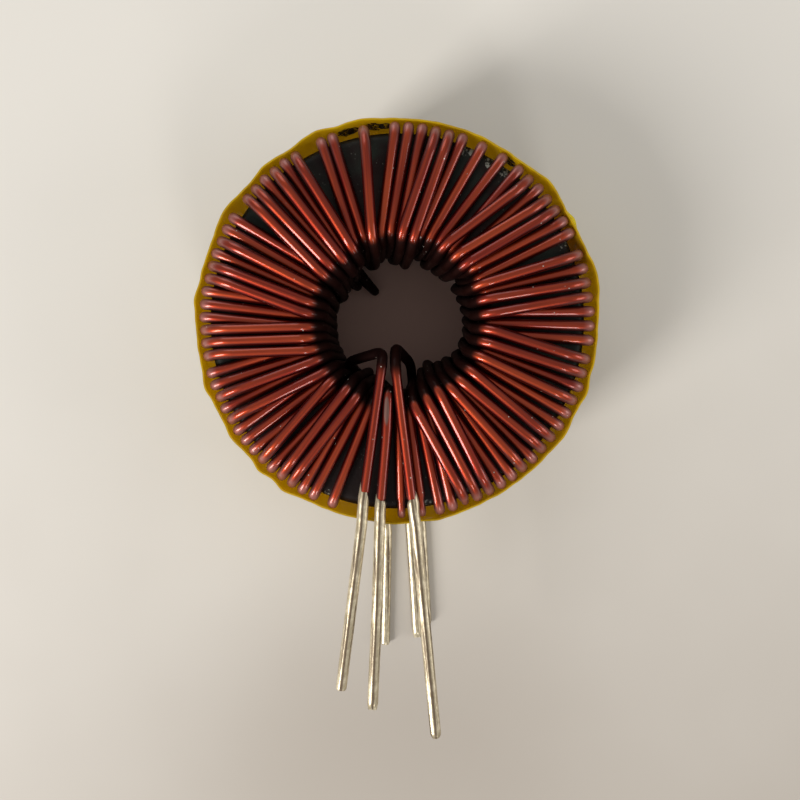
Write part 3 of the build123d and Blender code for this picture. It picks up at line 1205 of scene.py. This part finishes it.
@dataclass
class OuterTape:
    """Yellow film wound round the outside of the wires, with its free end lapped over its start.

    A bulge has its bearing, its half width in degrees and its height. A ripple has its seed and
    the number of waves of each of its sines.
    """

    finish: FilmFinish = FilmFinish()
    # Painted light: the lapped end is a brighter, matt copy of the film, standing in for light that comes
    # through it.
    brightened_end_finish: FilmFinish = FilmFinish(
        name="film_tape_end_lit",
        film=(0.95, 0.80, 0.01),
        other_tone=(0.9, 0.72, 0.01),
        lit=(1.0, 0.9, 0.02),
        roughness=0.6,
        coat=0.0,
    )
    inner_r: float = 24.955
    thickness: float = 0.2
    bottom: float = 2.9
    height: float = 18.3
    columns: int = 960
    rows: int = 24
    row_spread: float = 0.8
    crease: float = 0.035
    crease_lean: float = 9.0
    crease_ripple: tuple = (5, (31, 47, 83))
    edge_flutter: float = 0.06
    edge_power: float = 7.0
    flutter_ripple: tuple = (6, (13, 29, 53))
    edge_wave: float = 0.10
    wave_ripple: tuple = (7, (7, 19, 37))
    lap_first: float = 55.5
    lap_last: float = 72.0
    lap_columns: int = 80
    lap_middle: float = 59.5
    lap_width: float = 3.4
    lap_drop: float = 0.25
    lap_depth: float = 4.0
    lap_lift: float = 1.0
    lap_sink: float = 0.02
    lap_thickness: float = 0.08
    bulges: tuple[Point, ...] = (
        (48, 6, 0.55), (77, 7, 0.5), (110, 3, 0.3), (124, 5, 0.25), (167, 4, 0.3), (180, 5, 0.25),
        (214, 3, 0.5), (223, 3, 0.4), (235, 3, 0.3), (252, 3, 0.4), (277, 4, 0.35), (303, 5, 0.5),
        (320, 4, 0.3), (337, 5, 0.5), (350, 4, 0.3),
    )

    def radius(self, bearing: Array) -> Array:
        """Inside radius: round where it is taut, plus a bell curve at each loose bulge.

        Args:
            bearing: degrees.

        Returns:
            The radius at each bearing.
        """
        middle, width, height = np.array(self.bulges).T
        away = (bearing[:, None] - middle + 180) % 360 - 180
        return self.inner_r + (height * np.exp(-((away / width) ** 2))).sum(axis=1)

    def ripple(self, bearing: Array, seed: int, counts: tuple[int, ...]) -> Array:
        """A wavy line round the ring between -1 and 1: a few sines of whole numbers of waves.

        Args:
            bearing: degrees.
            seed: what sets their phases.
            counts: waves of each sine in one turn.

        Returns:
            The line's value at each bearing.
        """
        phase = np.random.default_rng(seed).uniform(0, 2 * math.pi, len(counts))
        return np.sin(np.radians(bearing)[:, None] * np.array(counts) + phase).mean(axis=1)

    def wall(self, bearing: Array) -> tuple[Array, Array]:
        """Inside face of the film.

        Vertical creases slant a little; towards the top the edge flutters in and out, and its
        height waves.

        Args:
            bearing: degrees.

        Returns:
            Radius and height of each point, (bearings, rows).
        """
        share = np.linspace(0, 1, self.rows) ** self.row_spread
        leaning = [self.ripple(bearing + self.crease_lean * s, *self.crease_ripple) for s in share]
        creases = np.stack(leaning, axis=1) * self.crease
        edge = share**self.edge_power * self.ripple(bearing, *self.flutter_ripple)[:, None]
        radius = self.radius(bearing)[:, None] + creases + edge * self.edge_flutter
        lift = share * self.ripple(bearing, *self.wave_ripple)[:, None] * self.edge_wave
        return radius, self.bottom + share * self.height + lift

    def closed_band(self) -> bpy.types.Object:
        """The film all the way round."""
        bearing = np.linspace(360, 0, self.columns, endpoint=False)
        return self.film_mesh("tape_wrap", bearing, *self.wall(bearing), self.thickness, True)

    def lapped_end(self) -> bpy.types.Object:
        """The free end: a short outer layer that sits a little lower and swells out below its edge.

        The swelling is a bell curve in bearing; down from the edge it is d e^(1 - d), where d is the
        depth over the depth of the fullest part.

        Returns:
            The object.
        """
        bearing = np.linspace(self.lap_last, self.lap_first, self.lap_columns)
        radius, height = self.wall(bearing)
        height = height - self.lap_drop * (height - self.bottom) / self.height
        depth = (height[:, -1:] - height) / self.lap_depth
        swell = np.exp(-(((bearing - self.lap_middle) / self.lap_width) ** 2))[:, None]
        off = self.lap_lift * swell * depth * np.exp(1 - depth)
        inside = radius + self.thickness - self.lap_sink + off
        return self.film_mesh("tape_end", bearing, inside, height, self.lap_thickness, False)

    def film_mesh(
        self, name: str, bearing: Array, inside: Array, height: Array, thickness: float, loop: bool
    ) -> bpy.types.Object:
        """Write one layer, whose own first coordinate stays below a half on its inside.

        Args:
            name: the object's name.
            bearing: degrees.
            inside: its inside radius, (bearings, rows).
            height: its height over the table, (bearings, rows).
            thickness: how much further out its outside is.
            loop: it goes all the way round.

        Returns:
            The object.
        """
        radii = np.concatenate([inside, inside[:, ::-1] + thickness], axis=1)
        heights = np.concatenate([height, height[:, ::-1]], axis=1)
        grid = at(radii, bearing[:, None], heights)
        rows, columns = grid.shape[:2]
        uv = np.stack(np.meshgrid(np.linspace(0, 1, columns + 1), np.linspace(0, 1, rows + 1)), axis=-1)
        return write_mesh(name, grid, uv, ring=True, loop=loop)

    def build(self) -> list[bpy.types.Object]:
        """Make the band and its lapped end.

        Returns:
            The two pieces.
        """
        pieces = [self.closed_band(), self.lapped_end()]
        for made, finish in zip(pieces, (self.finish, self.brightened_end_finish)):
            made.data.materials.append(finish.material())
            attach(made, "root")
            if made.name == "tape_wrap":
                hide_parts("outer_tape")
        return pieces


@dataclass(frozen=True)
class Lamp:
    """A soft lamp that faces the ring: its place and size in millimetres and its power in watts."""

    name: str
    place: Point
    size: Span
    power: float
    tint: Colour

    def build(self) -> None:
        """Set it up."""
        data = bpy.data.lights.new(self.name, "AREA")
        data.shape = "RECTANGLE"
        data.size = self.size[0] * MM
        data.size_y = self.size[1] * MM
        data.energy = self.power
        data.color = self.tint
        made = bpy.data.objects.new(self.name, data)
        spot = Vector(self.place) * MM
        made.matrix_world = Matrix.Translation(spot) @ spot.to_track_quat("Z", "Y").to_matrix().to_4x4()
        bpy.context.scene.collection.objects.link(made)


@dataclass
class Studio:
    """Table, lamps and camera."""

    lamps: tuple[Lamp, ...] = (
        Lamp("key", (-500.0, -345.0, 400.0), (160.0, 420.0), 4.6, (1.0, 0.975, 0.94)),
        Lamp("front", (150.0, -520.0, 400.0), (100.0, 200.0), 0.8, (1.0, 0.98, 0.96)),
        Lamp("side", (540.0, -60.0, 250.0), (300.0, 240.0), 0.8, (1.0, 0.98, 0.96)),
        Lamp("back", (-200.0, 620.0, 300.0), (420.0, 420.0), 1.0, (0.95, 0.99, 0.98)),
    )
    world_tint: Colour = (1.0, 0.975, 0.94)
    world_strength: float = 0.42
    table_half: float = 900.0
    focal_px: float = 801.0
    frame_px: float = 800.0
    nadir_px: Span = (413.0, 344.0)
    stand: Point = (2.08, -2.53, 121.62)
    sensor: float = 36.0
    nearest: float = 5.0

    def camera(self) -> None:
        """Stand above the ring so that straight down falls on the photograph's own point."""
        middle = self.frame_px / 2
        across = (self.nadir_px[0] - middle) / self.focal_px
        upward = (middle - self.nadir_px[1]) / self.focal_px
        down = Vector((across, upward, -1.0)).normalized()
        right = Vector((math.sqrt(1 - down.x**2), 0.0, -down.x))
        back = Vector((down.x, math.sqrt(1 - down.z**2 - down.x**2), -down.z))
        back = (back - right * back.dot(right)).normalized()
        turn = Matrix((right, back.cross(right), back)).transposed().to_4x4()
        data = bpy.data.cameras.new("camera")
        data.sensor_width = self.sensor
        data.lens = self.sensor * self.focal_px / self.frame_px
        data.clip_start = self.nearest * MM
        made = bpy.data.objects.new("camera", data)
        made.matrix_world = Matrix.Translation(Vector(self.stand) * MM) @ turn
        bpy.context.scene.collection.objects.link(made)
        bpy.context.scene.camera = made

    def build(self) -> None:
        """Lay the table, set the lamps and the world, and place the camera."""
        edges = np.array((-self.table_half, self.table_half))
        x, y = np.meshgrid(edges, edges)
        table = write_mesh("table", np.stack([x, y, x * 0], axis=-1), None, ring=False, loop=False)
        table.data.materials.append(TableFinish().material())
        for lamp in self.lamps:
            lamp.build()
        world = bpy.data.worlds.new("world")
        world.use_nodes = True
        sky = world.node_tree.nodes["Background"].inputs
        sky["Color"].default_value = (*self.world_tint, 1.0)
        sky["Strength"].default_value = self.world_strength
        bpy.context.scene.world = world
        self.camera()


def main() -> None:
    """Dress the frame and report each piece."""
    logging.basicConfig(level=logging.INFO, format="%(name)s: %(message)s")
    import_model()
    Studio().build()
    for assembly in (RingCore(), OuterTape(), Winding()):
        for piece in assembly.build():
            LOG.info("%s: %d faces", piece.name, len(piece.data.polygons))
    bpy.context.scene.view_settings.view_transform = "Standard"


if __name__ == "__main__":
    main()
